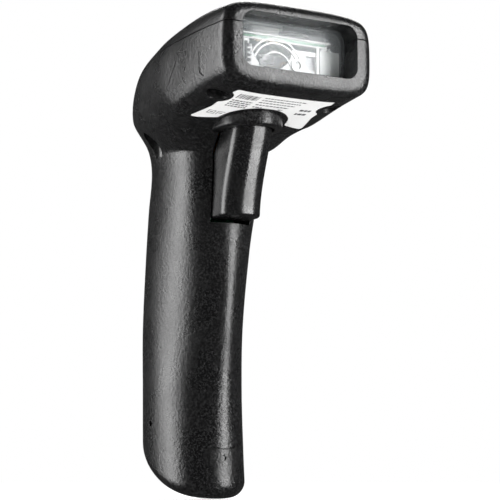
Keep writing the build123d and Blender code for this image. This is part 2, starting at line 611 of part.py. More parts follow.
def main_board():
    with BuildPart() as board:
        with BuildSketch(facing_front(BOARD_BACK, z=BOARD_MIDDLE_Z)):
            RectangleRounded(BOARD_W, BOARD_HIGH - BOARD_LOW, BOARD_ROUND)
        extrude(amount=BOARD_T)
        for z in BOARD_POSTS:
            with BuildSketch(facing_front(BOARD_BACK, z=z)):
                Circle(SMALL_SCREW_R + SCREW_PLAY)
            extrude(amount=BOARD_T, mode=Mode.SUBTRACT)
    save(board.part, "main_board")

    with BuildPart() as screws:
        for z in BOARD_POSTS:
            with BuildSketch(facing_front(BOARD_BACK + SMALL_HEAD_H, z=z)):
                Circle(SMALL_HEAD_R)
            extrude(amount=SMALL_HEAD_H)
            with BuildSketch(facing_front(BOARD_BACK, z=z)):
                Circle(SMALL_SCREW_R)
            extrude(amount=BOARD_T + SMALL_SCREW_L - TIP_GAP)
            with BuildSketch(facing_front(BOARD_BACK + SMALL_HEAD_H, z=z)):
                Rectangle(SMALL_HEAD_R * 1.3, CROSS_W)
                Rectangle(CROSS_W, SMALL_HEAD_R * 1.3)
            extrude(amount=CROSS_D / 2, mode=Mode.SUBTRACT)
    save(screws.part, "board_screws")

    with BuildPart() as chips:
        for x, z, width, height, depth in CHIPS:
            with BuildSketch(facing_front(BOARD_BACK, x=x, z=z)):
                Rectangle(width, height)
            extrude(amount=-depth)
    save(chips.part, "board_chips")

    with BuildPart() as capacitors:
        for x, z in CAPACITORS:
            with BuildSketch(facing_front(BOARD_BACK, x=x, z=z)):
                Rectangle(1.4, 2.4)
            extrude(amount=-0.8)
    save(capacitors.part, "board_capacitors")

    with BuildPart() as beeper:
        with BuildSketch(facing_front(BOARD_BACK, z=BEEPER_Z)):
            Circle(BEEPER_R)
        extrude(amount=-BEEPER_H)
        with BuildSketch(facing_front(BOARD_BACK + BEEPER_H, z=BEEPER_Z)):
            Circle(BEEPER_R / 5)
        extrude(amount=BEEPER_H / 4, mode=Mode.SUBTRACT)
    save(beeper.part, "beeper")


def cord_socket():
    """Modular jack behind the slanted end, open downwards, with its row of spring contacts."""
    with BuildPart() as jack:
        with BuildSketch(Plane.XY.offset(BOARD_LOW)):
            with Locations((0, BOARD_BACK + JACK_D / 2)):
                Rectangle(JACK_W, JACK_D)
        extrude(amount=JACK_H)
        with BuildSketch(Plane.XY.offset(BOARD_LOW)):
            with Locations((0, SOCKET_Y)):
                Rectangle(SOCKET_W, SOCKET_D)
        extrude(amount=SOCKET_DEEP, mode=Mode.SUBTRACT)
    save(jack.part, "jack_housing")

    with BuildPart() as contacts:
        for i in range(CONTACTS):
            x = (i - (CONTACTS - 1) / 2) * CONTACT_PITCH
            with BuildSketch(Plane.YZ.offset(x)):
                top = BOARD_LOW + SOCKET_DEEP
                with Locations((SOCKET_Y - (SOCKET_D - CONTACT_T) / 2, top - CONTACT_H / 2)):
                    Rectangle(CONTACT_T, CONTACT_H)
            extrude(amount=CONTACT_W / 2, both=True)
    save(contacts.part, "jack_contacts")


def shell_screws(name, spots, top):
    """Screws driven up from the pockets into the top cover, with a cross recess in each head."""
    with BuildPart() as screws:
        with BuildSketch(Plane.XY.offset(top)):
            with Locations(*spots):
                Circle(SCREW_HEAD_R)
        extrude(amount=-SCREW_HEAD_H)
        fillet(screws.edges().group_by(Axis.Z)[0], SCREW_HEAD_H / 3)
        with BuildSketch(Plane.XY.offset(top)):
            with Locations(*spots):
                Circle(SCREW_R)
        extrude(amount=POCKET_FLOOR + SCREW_GRIP - TIP_GAP)
        with BuildSketch(Plane.XY.offset(top - SCREW_HEAD_H)):
            with Locations(*spots):
                Rectangle(SCREW_HEAD_R * 1.2, CROSS_W)
                Rectangle(CROSS_W, SCREW_HEAD_R * 1.2)
        extrude(amount=CROSS_D, mode=Mode.SUBTRACT)
    save(screws.part, name)


def engine_chassis():
    """Die-cast frame of the scan engine: floor, back wall, columns and a pierced face at the window."""
    with BuildPart() as frame:
        with BuildSketch(Plane.XY.offset(ENGINE_FLOOR_Z)):
            with Locations((ENGINE_X, ENGINE_Y + ENGINE_D / 2)):
                Rectangle(ENGINE_W, ENGINE_D)
        extrude(amount=CHASSIS_T)
        with BuildSketch(facing_front(ENGINE_BACK_Y, x=ENGINE_X, z=ENGINE_FLOOR_Z + ENGINE_H / 2)):
            Rectangle(ENGINE_W, ENGINE_H)
        extrude(amount=CHASSIS_T)
        with BuildSketch(Plane.XY.offset(ENGINE_FLOOR_Z)):
            for x in (ENGINE_LEFT + COLUMN / 2, ENGINE_RIGHT - COLUMN / 2):
                with Locations((x, ENGINE_Y + COLUMN / 2)):
                    Rectangle(COLUMN, COLUMN)
        extrude(amount=ENGINE_H)
        with BuildSketch(facing_front(ENGINE_Y, z=ENGINE_FLOOR_Z + FACE_H / 2)):
            with Locations(((ENGINE_X + FACE_REACH / 2), 0)):
                Rectangle(ENGINE_W + FACE_REACH, FACE_H)
            with Locations((MIRROR_X, FACE_H / 2)):
                Circle(FACE_H - CHASSIS_T, mode=Mode.SUBTRACT)
            with Locations((ENGINE_RIGHT - COLUMN - 1 - EYE_W / 2, BEAM_Z - ENGINE_FLOOR_Z - FACE_H / 2)):
                RectangleRounded(EYE_W, EYE_H, 1, mode=Mode.SUBTRACT)
        extrude(amount=-FACE_T)
        with BuildSketch(Plane.XY.offset(DECK_Z)):
            with Locations((BARREL_X + BARREL_L / 2, MIRROR_Y)):
                Rectangle(BARREL_L / 2, 2 * BARREL_R + 2)
        extrude(amount=BEAM_Z - DECK_Z)
        with BuildSketch(Plane.YZ.offset(BARREL_X)):
            with Locations((MIRROR_Y, BEAM_Z)):
                Circle(BARREL_R)
        extrude(amount=BARREL_L, mode=Mode.SUBTRACT)
        with BuildSketch(Plane.XY.offset(ENGINE_FLOOR_Z)):
            with Locations(*ENGINE_POSTS):
                Circle(SMALL_SCREW_R + SCREW_PLAY)
            with Locations((MIRROR_X, MIRROR_Y)):
                Circle(MIRROR_PIN_R)
        extrude(amount=CHASSIS_T, mode=Mode.SUBTRACT)
    save(frame.part, "engine_chassis")


def engine_mounting():
    with BuildPart() as screws:
        with BuildSketch(Plane.XY.offset(DECK_Z)):
            with Locations(*ENGINE_POSTS):
                Circle(SMALL_HEAD_R)
        extrude(amount=SMALL_HEAD_H)
        with BuildSketch(Plane.XY.offset(DECK_Z)):
            with Locations(*ENGINE_POSTS):
                Circle(SMALL_SCREW_R)
        extrude(amount=TIP_GAP - SMALL_SCREW_L)
        with BuildSketch(Plane.XY.offset(DECK_Z + SMALL_HEAD_H)):
            with Locations(*ENGINE_POSTS):
                Rectangle(SMALL_HEAD_R * 1.3, CROSS_W)
                Rectangle(CROSS_W, SMALL_HEAD_R * 1.3)
        extrude(amount=-CROSS_D / 2, mode=Mode.SUBTRACT)
    save(screws.part, "engine_screws")

    with BuildPart() as grommets:
        with BuildSketch(Plane.XY.offset(ENGINE_FLOOR_Z)):
            with Locations(*ENGINE_POSTS):
                Circle(POST_R)
                Circle(SMALL_SCREW_R + SCREW_PLAY, mode=Mode.SUBTRACT)
        extrude(amount=-GROMMET_T)
    save(grommets.part, "engine_grommets")


def mirror_plane():
    """Level plane at the mirror's axis, its +Y the way the mirror looks away from."""
    turn = radians(MIRROR_TURN)
    foot = (MIRROR_X, MIRROR_Y, DECK_Z + LOOSE)
    return Plane(origin=foot, x_dir=(cos(turn), sin(turn), 0), z_dir=(0, 0, 1))


def scan_mirror():
    """Swinging mirror: glass on a carrier that turns on a steel pin, with a drive magnet behind it."""
    with BuildPart() as carrier:
        with BuildSketch(mirror_plane()):
            Circle(CARRIER_R)
            with Locations((0, -CARRIER_R / 2)):
                Rectangle(MIRROR_W - 2, CARRIER_R)
            Circle(MIRROR_PIN_R + FIT, mode=Mode.SUBTRACT)
        extrude(amount=MIRROR_H)
    save(carrier.part, "mirror_carrier")

    with BuildPart() as glass:
        with BuildSketch(mirror_plane()):
            with Locations((0, -CARRIER_R - MIRROR_T / 2)):
                Rectangle(MIRROR_W, MIRROR_T)
        extrude(amount=MIRROR_H)
    save(glass.part, "scan_mirror")

    with BuildPart() as magnet:
        with BuildSketch(mirror_plane()):
            with Locations((0, CARRIER_R + MAGNET / 2)):
                Rectangle(MAGNET, MAGNET)
            Circle(CARRIER_R, mode=Mode.SUBTRACT)
        extrude(amount=MIRROR_H)
        with BuildSketch(mirror_plane()):
            with Locations((0, CARRIER_R + MAGNET / 2)):
                Rectangle(MIRROR_W, 2 * MAGNET)
        extrude(amount=(MIRROR_H - MAGNET) / 2, mode=Mode.SUBTRACT)
        with BuildSketch(mirror_plane().offset((MIRROR_H + MAGNET) / 2)):
            with Locations((0, CARRIER_R + MAGNET / 2)):
                Rectangle(MIRROR_W, 2 * MAGNET)
        extrude(amount=MIRROR_H, mode=Mode.SUBTRACT)
    save(magnet.part, "mirror_magnet")

    with BuildPart() as pin:
        with BuildSketch(Plane.XY.offset(ENGINE_FLOOR_Z)):
            with Locations((MIRROR_X, MIRROR_Y)):
                Circle(MIRROR_PIN_R)
        extrude(amount=CHASSIS_T + LOOSE + MIRROR_H + LOOSE)
    save(pin.part, "mirror_pin")


def engine_optics():
    with BuildPart() as coil:
        with BuildSketch(facing_front(ENGINE_BACK_Y - CHASSIS_T, x=MIRROR_X, z=BEAM_Z)):
            Circle(COIL_OUT_R)
            Circle(COIL_IN_R, mode=Mode.SUBTRACT)
        extrude(amount=COIL_T)
    save(coil.part, "drive_coil")

    with BuildPart() as barrel:
        with BuildSketch(Plane.YZ.offset(BARREL_X)):
            with Locations((MIRROR_Y, BEAM_Z)):
                Circle(BARREL_R)
        extrude(amount=BARREL_L)
        with BuildSketch(Plane.YZ.offset(BARREL_X)):
            with Locations((MIRROR_Y, BEAM_Z)):
                Circle(LENS_R)
        extrude(amount=2 * LENS_T, mode=Mode.SUBTRACT)
    save(barrel.part, "laser_module")

    with BuildPart() as lens:
        with BuildSketch(Plane.YZ.offset(BARREL_X + LENS_T)):
            with Locations((MIRROR_Y, BEAM_Z)):
                Circle(LENS_R)
        extrude(amount=LENS_T)
    save(lens.part, "laser_lens")

    dish_x, dish_y = ENGINE_LEFT + GROOVE, ENGINE_Y + COLUMN + GROOVE + DISH_W / 2
    with BuildPart() as dish:
        with BuildSketch(Plane.XY.offset(DECK_Z)):
            with Locations((dish_x + DISH_T / 2, dish_y)):
                Rectangle(DISH_T, DISH_W)
            with Locations((dish_x + DISH_T / 2 + DISH_R, dish_y)):
                Circle(DISH_R, mode=Mode.SUBTRACT)
        extrude(amount=FACE_H - CHASSIS_T)
    save(dish.part, "collecting_mirror")

    eye_x, eye_y = ENGINE_RIGHT - COLUMN - 1 - EYE_W / 2, ENGINE_Y + FACE_T
    with BuildPart() as light_filter:
        with BuildSketch(Plane.XY.offset(DECK_Z)):
            with Locations((eye_x, eye_y + FILTER_T / 2)):
                Rectangle(EYE_W + 1, FILTER_T)
        extrude(amount=FACE_H - CHASSIS_T)
    save(light_filter.part, "light_filter")

    with BuildPart() as eye:
        with BuildSketch(Plane.XY.offset(DECK_Z)):
            with Locations((eye_x, eye_y + FILTER_T + EYE_T / 2)):
                Rectangle(EYE_W, EYE_T)
        extrude(amount=EYE_H + 1)
    save(eye.part, "photodetector")


def engine_board():
    with BuildPart() as board:
        with BuildSketch(Plane.XY.offset(ENGINE_BOARD_Z)):
            with Locations((ENGINE_X, ENGINE_Y + ENGINE_D / 2)):
                RectangleRounded(ENGINE_W, ENGINE_D, 1)
        extrude(amount=ENGINE_BOARD_T)
    save(board.part, "engine_board")

    with BuildPart() as lamps:
        with BuildSketch(Plane.XY.offset(ENGINE_BOARD_Z + ENGINE_BOARD_T)):
            with Locations((-LAMP_L / 4, LAMP_Y), (LAMP_L / 4, LAMP_Y)):
                Rectangle(2 * LED, LED)
        extrude(amount=LED)
    save(lamps.part, "indicator_lamps")

    # flexible lead from the engine board's rear edge over to the back of the main board
    seat_y = BOARD_BACK + RIBBON_T / 2
    path = [(ENGINE_BACK_Y, ENGINE_BOARD_Z + ENGINE_BOARD_T / 2), (BEND_Y + 14, ENGINE_BOARD_Z - 1),
            (BEND_Y + 27, BEND_Z + 24), (seat_y, BEND_Z + 7), (seat_y, BOARD_HIGH - 4)]
    with BuildPart() as ribbon:
        with BuildSketch(Plane.YZ):
            with BuildLine():
                Spline(*path, tangents=((1, 0), (0, -1)))
            trace(line_width=RIBBON_T)
        extrude(amount=RIBBON_W / 2, both=True)
    save(ribbon.part, "flex_ribbon")


top_cover()
front_housing()
rear_housing()
window_parts()
label()
light_pipe()
trigger()
trigger_spring()
switch()
main_board()
cord_socket()
shell_screws("head_screws", FRONT_SPOTS, FRONT_POCKET_TOP)
shell_screws("rear_screws", REAR_SPOTS, REAR_POCKET_TOP)
engine_chassis()
engine_mounting()
scan_mirror()
engine_optics()
engine_board()
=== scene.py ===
import json
import random
from math import cos, pi, radians, sin

import bmesh
import bpy
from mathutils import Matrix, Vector
from mathutils.bvhtree import BVHTree


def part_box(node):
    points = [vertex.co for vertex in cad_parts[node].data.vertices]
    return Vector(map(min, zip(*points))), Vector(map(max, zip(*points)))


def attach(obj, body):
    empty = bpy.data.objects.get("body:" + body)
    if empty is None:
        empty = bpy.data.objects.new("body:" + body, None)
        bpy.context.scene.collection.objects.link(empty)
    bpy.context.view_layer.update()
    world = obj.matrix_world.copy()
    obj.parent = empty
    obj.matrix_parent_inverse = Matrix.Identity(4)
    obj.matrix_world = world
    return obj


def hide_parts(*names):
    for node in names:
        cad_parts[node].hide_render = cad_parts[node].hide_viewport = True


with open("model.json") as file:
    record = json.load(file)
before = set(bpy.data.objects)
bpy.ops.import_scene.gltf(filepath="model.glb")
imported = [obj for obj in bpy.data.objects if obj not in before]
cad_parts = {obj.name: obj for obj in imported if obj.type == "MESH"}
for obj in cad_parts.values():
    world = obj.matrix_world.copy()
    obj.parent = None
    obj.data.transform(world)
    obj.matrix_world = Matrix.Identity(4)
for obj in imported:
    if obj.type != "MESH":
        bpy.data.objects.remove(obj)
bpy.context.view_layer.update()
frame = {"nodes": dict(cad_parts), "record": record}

# ---- places, in metres ----
MM = 0.001
NODES = frame["nodes"]
PANE_LOW, PANE_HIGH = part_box("window_pane")
CHASSIS_LOW, CHASSIS_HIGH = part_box("engine_chassis")
LABEL_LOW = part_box("label")[0]
BOARD_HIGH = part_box("main_board")[1]
ENGINE_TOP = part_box("engine_board")[1]
WINDOW_Y = PANE_LOW.y
CAMERA_PLACE = (-0.2986, -0.5328, 0.0061)
CAMERA_YAW, CAMERA_PITCH, CAMERA_LENS = 30.0, 7.83, 121.3
MIDDLE = (0, 0, 0.09)                        # what the softboxes point at
WINDOW_MIDDLE = (0, 0, PANE_LOW.z / 2 + PANE_HIGH.z / 2)
WINDOW_LIGHT_AHEAD = 0.008                   # the window's own light stands this far before the pane
MERGE, SLIVER = 0.002 * MM, 0.001 * MM       # corners closer than these become one
INK_UNDER, INK_OVER = 0.02 * MM, 0.05 * MM   # the print reaches this far into and over the film
DASH_GAP = 0.35 * MM
BOX_SIDE, BOX_LINE = 2.8, 0.3                # outlined squares on the label's wing
PIN_PITCH = 0.9


# ---- materials ----
def new_material(name, **settings):
    """A Principled material; settings are its sockets by name, with underscores for spaces."""
    material = bpy.data.materials.new(name)
    material.use_nodes = True
    surface = material.node_tree.nodes["Principled BSDF"]
    for key, value in settings.items():
        surface.inputs[key.replace("_", " ")].default_value = value
    return material, material.node_tree, surface


def add_node(tree, kind, inputs=None, **settings):
    made = tree.nodes.new(kind)
    for key, value in settings.items():
        setattr(made, key, value)
    for key, value in (inputs or {}).items():
        made.inputs[key].default_value = value
    return made


def colour_steps(tree, fac, *stops):
    """Colour ramp from (position, colour) stops."""
    ramp = add_node(tree, "ShaderNodeValToRGB")
    elements = ramp.color_ramp.elements
    while len(elements) < len(stops):
        elements.new(0.5)
    for element, (position, colour) in zip(elements, stops):
        element.position = position
        element.color = (*colour, 1.0)
    tree.links.new(fac, ramp.inputs["Fac"])
    return ramp.outputs["Color"]


def spread(tree, value, low, high, start=0.3, end=0.7):
    """Value between start and end mapped to low..high."""
    mapped = add_node(tree, "ShaderNodeMapRange",
                      {"From Min": start, "From Max": end, "To Min": low, "To Max": high})
    tree.links.new(value, mapped.inputs["Value"])
    return mapped.outputs["Result"]


def relief(tree, surface, height, depth, normal=None):
    bump = add_node(tree, "ShaderNodeBump", {"Strength": 1.0, "Distance": depth})
    tree.links.new(height, bump.inputs["Height"])
    if normal is not None:
        tree.links.new(normal, bump.inputs["Normal"])
    tree.links.new(bump.outputs["Normal"], surface.inputs["Normal"])


def moulded(name, dark, light, roughness, grain, depth, rounding=0.35 * MM):
    """Grained black moulding: fine pits darkened with painted shade, softened edges and a broad change of
    sheen.
    """
    material, tree, surface = new_material(name, Specular_IOR_Level=0.5)
    place = add_node(tree, "ShaderNodeTexCoord").outputs["Object"]
    pits = add_node(tree, "ShaderNodeTexVoronoi", {"Scale": grain, "Randomness": 1.0}, feature="SMOOTH_F1")
    fine = add_node(tree, "ShaderNodeTexNoise", {"Scale": grain * 1.7, "Detail": 3.0, "Roughness": 0.65})
    broad = add_node(tree, "ShaderNodeTexNoise", {"Scale": 60.0, "Detail": 4.0})
    for texture in (pits, fine, broad):
        tree.links.new(place, texture.inputs["Vector"])
    mixed = add_node(tree, "ShaderNodeMath", {1: 0.55}, operation="MULTIPLY_ADD")
    tree.links.new(pits.outputs["Distance"], mixed.inputs[0])
    tree.links.new(fine.outputs["Fac"], mixed.inputs[2])
    # colour follows the fine noise that also raises the relief: painted shade in its low places, random tone
    # besides
    tree.links.new(colour_steps(tree, fine.outputs["Fac"], (0.45, dark), (0.65, light)),
                   surface.inputs["Base Color"])
    tree.links.new(spread(tree, broad.outputs["Fac"], roughness - 0.05, roughness + 0.07),
                   surface.inputs["Roughness"])
    edges = add_node(tree, "ShaderNodeBevel", {"Radius": rounding}, samples=6)
    relief(tree, surface, mixed.outputs["Value"], depth, edges.outputs["Normal"])
    return material


def flecked(name, dark, light, roughness, scale=900.0, depth=0.00002, **settings):
    """Finish with small flecks of colour and relief, for castings, platings and packages."""
    material, tree, surface = new_material(name, **settings)
    place = add_node(tree, "ShaderNodeTexCoord").outputs["Object"]
    fleck = add_node(tree, "ShaderNodeTexNoise", {"Scale": scale, "Detail": 4.0, "Roughness": 0.6})
    cloud = add_node(tree, "ShaderNodeTexNoise", {"Scale": scale / 8, "Detail": 2.0})
    for texture in (fleck, cloud):
        tree.links.new(place, texture.inputs["Vector"])
    tree.links.new(colour_steps(tree, fleck.outputs["Fac"], (0.3, dark), (0.7, light)),
                   surface.inputs["Base Color"])
    tree.links.new(spread(tree, cloud.outputs["Fac"], roughness - 0.04, roughness + 0.06),
                   surface.inputs["Roughness"])
    relief(tree, surface, fleck.outputs["Fac"], depth)
    return material


def banded(name, dark, light, roughness, pitch, direction, depth=0.00003, **settings):
    """Finish with even bands, for windings, traces and ground steel."""
    material, tree, surface = new_material(name, **settings)
    place = add_node(tree, "ShaderNodeTexCoord").outputs["Object"]
    bands = add_node(tree, "ShaderNodeTexWave",
                     {"Scale": pi / (10 * pitch), "Distortion": 0.4, "Detail": 1.0},
                     bands_direction=direction)
    tree.links.new(place, bands.inputs["Vector"])
    tree.links.new(colour_steps(tree, bands.outputs["Fac"], (0.35, dark), (0.65, light)),
                   surface.inputs["Base Color"])
    tree.links.new(spread(tree, bands.outputs["Fac"], roughness + 0.05, roughness - 0.03),
                   surface.inputs["Roughness"])
    relief(tree, surface, bands.outputs["Fac"], depth)
    return material


def clear(name, tint, alpha, roughness, scale=400.0):
    """Clear or tinted glass and plastic with faint smears."""
    material, tree, surface = new_material(name, Alpha=alpha, IOR=1.5)
    place = add_node(tree, "ShaderNodeTexCoord").outputs["Object"]
    smear = add_node(tree, "ShaderNodeTexNoise", {"Scale": scale, "Detail": 3.0})
    tree.links.new(place, smear.inputs["Vector"])
    tree.links.new(colour_steps(tree, smear.outputs["Fac"], (0.3, [0.92 * c for c in tint]), (0.7, tint)),
                   surface.inputs["Base Color"])
    tree.links.new(spread(tree, smear.outputs["Fac"], roughness, roughness + 0.04),
                   surface.inputs["Roughness"])
    return material


def solder_mask(name):
    """Green board with lighter copper tracks under the mask."""
    material, tree, surface = new_material(name, Coat_Weight=0.35, Coat_Roughness=0.2)
    place = add_node(tree, "ShaderNodeTexCoord").outputs["Object"]
    tracks = add_node(tree, "ShaderNodeTexBrick",
                      {"Scale": 260.0, "Mortar Size": 0.06, "Brick Width": 1.3, "Row Height": 0.42})
    tracks.inputs["Color1"].default_value = (0.012, 0.085, 0.04, 1)
    tracks.inputs["Color2"].default_value = (0.016, 0.11, 0.05, 1)
    tracks.inputs["Mortar"].default_value = (0.05, 0.24, 0.11, 1)
    flat = add_node(tree, "ShaderNodeMapping", {"Rotation": (radians(90), 0, 0)})
    tree.links.new(place, flat.inputs["Vector"])
    tree.links.new(flat.outputs["Vector"], tracks.inputs["Vector"])
    tree.links.new(tracks.outputs["Color"], surface.inputs["Base Color"])
    tree.links.new(spread(tree, tracks.outputs["Fac"], 0.42, 0.3, 0, 1), surface.inputs["Roughness"])
    relief(tree, surface, tracks.outputs["Fac"], 0.00003)
    return material


BLACK, WHITE = (0.006, 0.006, 0.0065), (0.86, 0.86, 0.85)
PAINTED_PIT_SHADE = (0.003, 0.003, 0.0032)           # painted shade in the low places of a moulded grain
FINISH = {
    "black_grain": moulded("black_grain", PAINTED_PIT_SHADE, (0.026, 0.026, 0.0265), 0.27, 800.0, 0.00012),
    "black_satin": moulded("black_satin", PAINTED_PIT_SHADE, (0.018, 0.018, 0.0185), 0.24, 900.0, 0.00004),
    "window_clear": clear("window_clear", (0.75, 0.80, 0.82), 0.12, 0.02),
    "black_rubber": flecked("black_rubber", BLACK, (0.02, 0.02, 0.02), 0.7),
    "label_white": flecked("label_white", (0.78, 0.78, 0.77), WHITE, 0.42, 2500.0, 0.000008),
    "lamp_clear": clear("lamp_clear", (0.62, 0.64, 0.62), 0.85, 0.28),
    "screw_steel": flecked("screw_steel", (0.10, 0.10, 0.105), (0.22, 0.22, 0.23), 0.30, 1500.0,
                           Metallic=1.0),
    "pin_steel": banded("pin_steel", (0.45, 0.45, 0.46), (0.6, 0.6, 0.61), 0.2, 0.0002, "X", 0.000004,
                        Metallic=1.0),
    "spring_wire": banded("spring_wire", (0.4, 0.4, 0.41), (0.62, 0.62, 0.63), 0.22, 0.0003, "X", 0.000004,
                          Metallic=1.0),
    "zinc_cast": flecked("zinc_cast", (0.42, 0.42, 0.42), (0.62, 0.62, 0.61), 0.38, 1400.0, 0.00005,
                         Metallic=0.15),
    "board_green": solder_mask("board_green"),
    "chip_black": flecked("chip_black", (0.012, 0.012, 0.013), (0.035, 0.035, 0.037), 0.5, 1800.0),
    "capacitor_tan": flecked("capacitor_tan", (0.36, 0.25, 0.14), (0.52, 0.38, 0.22), 0.45, 2000.0),
    "copper_wire": banded("copper_wire", (0.36, 0.12, 0.05), (0.75, 0.33, 0.16), 0.25, 0.00018, "Y", 0.00006,
                          Metallic=1.0),
    "contact_gold": flecked("contact_gold", (0.66, 0.42, 0.13), (0.88, 0.64, 0.26), 0.24, 1500.0, 0.00001,
                            Metallic=1.0),
    "lens_glass": clear("lens_glass", (0.5, 0.6, 0.75), 0.5, 0.03),
    "filter_grey": clear("filter_grey", (0.45, 0.46, 0.48), 0.6, 0.06),
    "mirror_face": flecked("mirror_face", (0.86, 0.86, 0.87), (0.9, 0.9, 0.91), 0.07, 600.0, 0.000001,
                           Metallic=1.0),
    "magnet_nickel": flecked("magnet_nickel", (0.42, 0.41, 0.38), (0.6, 0.59, 0.55), 0.25, 1500.0,
                             Metallic=1.0),
    "switch_plastic": flecked("switch_plastic", (0.02, 0.02, 0.021), (0.05, 0.05, 0.052), 0.4, 1800.0),
    "jack_clear": clear("jack_clear", (0.30, 0.31, 0.31), 0.9, 0.22),
    "ribbon_amber": banded("ribbon_amber", (0.20, 0.07, 0.012), (0.50, 0.22, 0.05), 0.25, 0.0008, "X",
                           Coat_Weight=0.4),
    "lamp_chip": flecked("lamp_chip", (0.72, 0.72, 0.64), (0.84, 0.84, 0.78), 0.35, 1600.0),
}
INK = flecked("label_ink", (0.05, 0.05, 0.055), (0.12, 0.12, 0.125), 0.5, 3000.0, 0.000004)
SLOT_OF = {part["node"]: part["material_slot"] for part in frame["record"]["subparts"]}


# ---- pieces ----
def place_piece(name, bm, slot, body="housing", material=None, crease=None):
    """Links a finished mesh as a piece that rides on a body; edges sharper than crease stay sharp."""
    if crease is not None:
        for face in bm.faces:
            face.smooth = True
        for edge in bm.edges:
            edge.smooth = len(edge.link_faces) == 2 and edge.calc_face_angle(0) < radians(crease)
    mesh = bpy.data.meshes.new(name)
    bm.to_mesh(mesh)
    bm.free()
    mesh.materials.append(material or FINISH[slot])
    piece = bpy.data.objects.new(name, mesh)
    bpy.context.scene.collection.objects.link(piece)
    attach(piece, body)
    return piece


def refine(node, body, crease=28.0):
    """Stands a merged, smooth-shaded copy in for a CAD node."""
    bm = bmesh.new()
    bm.from_mesh(NODES[node].data)
    bmesh.ops.remove_doubles(bm, verts=bm.verts, dist=MERGE)
    bmesh.ops.dissolve_degenerate(bm, edges=bm.edges, dist=SLIVER)
    piece = place_piece(f"{node}_skin", bm, SLOT_OF[node], body, crease=crease)
    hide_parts(node)


for body, members in frame["record"]["behaviour"]["bodies"].items():
    for member in members:
        refine(member, body)


# ---- printed marks on the label: plain blocks, bars and dashes that spell nothing ----
def label_marks():
    bm = bmesh.new()
    source = bmesh.new()
    source.from_mesh(NODES["label"].data)
    film = BVHTree.FromBMesh(source)
    source.free()
    dice = random.Random(7)

    def patch(x0, y0, x1, y1):
        corners = []
        for x, y in ((x0, y0), (x1, y0), (x1, y1), (x0, y1)):
            hit = film.ray_cast(Vector((x, y, LABEL_LOW.z - 0.02)), Vector((0, 0, 1)))[0]
            if hit is None:
                return
            corners.append(hit)
        under = [bm.verts.new(c - Vector((0, 0, INK_UNDER))) for c in corners]
        over = [bm.verts.new(c + Vector((0, 0, INK_OVER))) for c in corners]
        bm.faces.new(under)
        bm.faces.new(list(reversed(over)))
        for i in range(4):
            j = (i + 1) % 4
            bm.faces.new((under[j], under[i], over[i], over[j]))

    def dashes(x, y, length, height):
        end = x + length
        while x < end:
            wide = dice.uniform(0.5, 1.6) * MM
            patch(x, y, min(x + wide, end), y + height)
            x += wide + DASH_GAP

    for row in range(6):
        dashes(-7 * MM, LABEL_LOW.y + (3.0 + 2.3 * row) * MM, (17 - 1.2 * row) * MM, 0.8 * MM)
    x = -17 * MM
    while x < -9 * MM:
        wide = dice.choice((0.25, 0.25, 0.5, 0.75)) * MM
        patch(x, LABEL_LOW.y + 3 * MM, x + wide, LABEL_LOW.y + 7.2 * MM)
        x += wide + dice.choice((0.3, 0.5)) * MM
    for row in range(4):
        dashes(-17 * MM, LABEL_LOW.y + (9 + 1.7 * row) * MM, 8.2 * MM, 0.9 * MM)
    for x in (-19.8, -16.2):
        far = BOX_SIDE - BOX_LINE
        for edge in ((0, 0, BOX_SIDE, BOX_LINE), (0, far, BOX_SIDE, BOX_SIDE), (0, 0, BOX_LINE, BOX_SIDE),
                     (far, 0, BOX_SIDE, BOX_SIDE), (0.8, 1.1, 2, 1.7)):
            patch((x + edge[0]) * MM, LABEL_LOW.y + (20.5 + edge[1]) * MM,
                  (x + edge[2]) * MM, LABEL_LOW.y + (20.5 + edge[3]) * MM)
    for row in range(2):
        dashes(11.5 * MM, LABEL_LOW.y + (10 + 3.6 * row) * MM, 4.6 * MM, 1.6 * MM)
    bmesh.ops.recalc_face_normals(bm, faces=bm.faces)
    place_piece("label_print", bm, "label_white", material=INK)


label_marks()


# ---- repeated small parts, by one geometry tree ----
def block_row_tree():
    """Geometry tree: a straight row of blocks with named inputs."""
    tree = bpy.data.node_groups.new("block_row", "GeometryNodeTree")
    face = tree.interface
    face.new_socket("Geometry", in_out="OUTPUT", socket_type="NodeSocketGeometry")
    face.new_socket("Count", in_out="INPUT", socket_type="NodeSocketInt")
    face.new_socket("Start", in_out="INPUT", socket_type="NodeSocketVector")
    face.new_socket("Step", in_out="INPUT", socket_type="NodeSocketVector")
    face.new_socket("Size", in_out="INPUT", socket_type="NodeSocketVector")
    face.new_socket("Finish", in_out="INPUT", socket_type="NodeSocketMaterial")
    given, out = tree.nodes.new("NodeGroupInput"), tree.nodes.new("NodeGroupOutput")
    line = tree.nodes.new("GeometryNodeMeshLine")
    block = tree.nodes.new("GeometryNodeMeshCube")
    spots = tree.nodes.new("GeometryNodeInstanceOnPoints")
    real = tree.nodes.new("GeometryNodeRealizeInstances")
    paint = tree.nodes.new("GeometryNodeSetMaterial")
    link = tree.links.new
    link(given.outputs["Count"], line.inputs["Count"])
    link(given.outputs["Start"], line.inputs["Start Location"])
    link(given.outputs["Step"], line.inputs["Offset"])
    link(given.outputs["Size"], block.inputs["Size"])
    link(line.outputs["Mesh"], spots.inputs["Points"])
    link(block.outputs["Mesh"], spots.inputs["Instance"])
    link(spots.outputs["Instances"], real.inputs["Geometry"])
    link(real.outputs["Geometry"], paint.inputs["Geometry"])
    link(given.outputs["Finish"], paint.inputs["Material"])
    link(paint.outputs["Geometry"], out.inputs["Geometry"])
    return tree


BLOCK_ROW = block_row_tree()


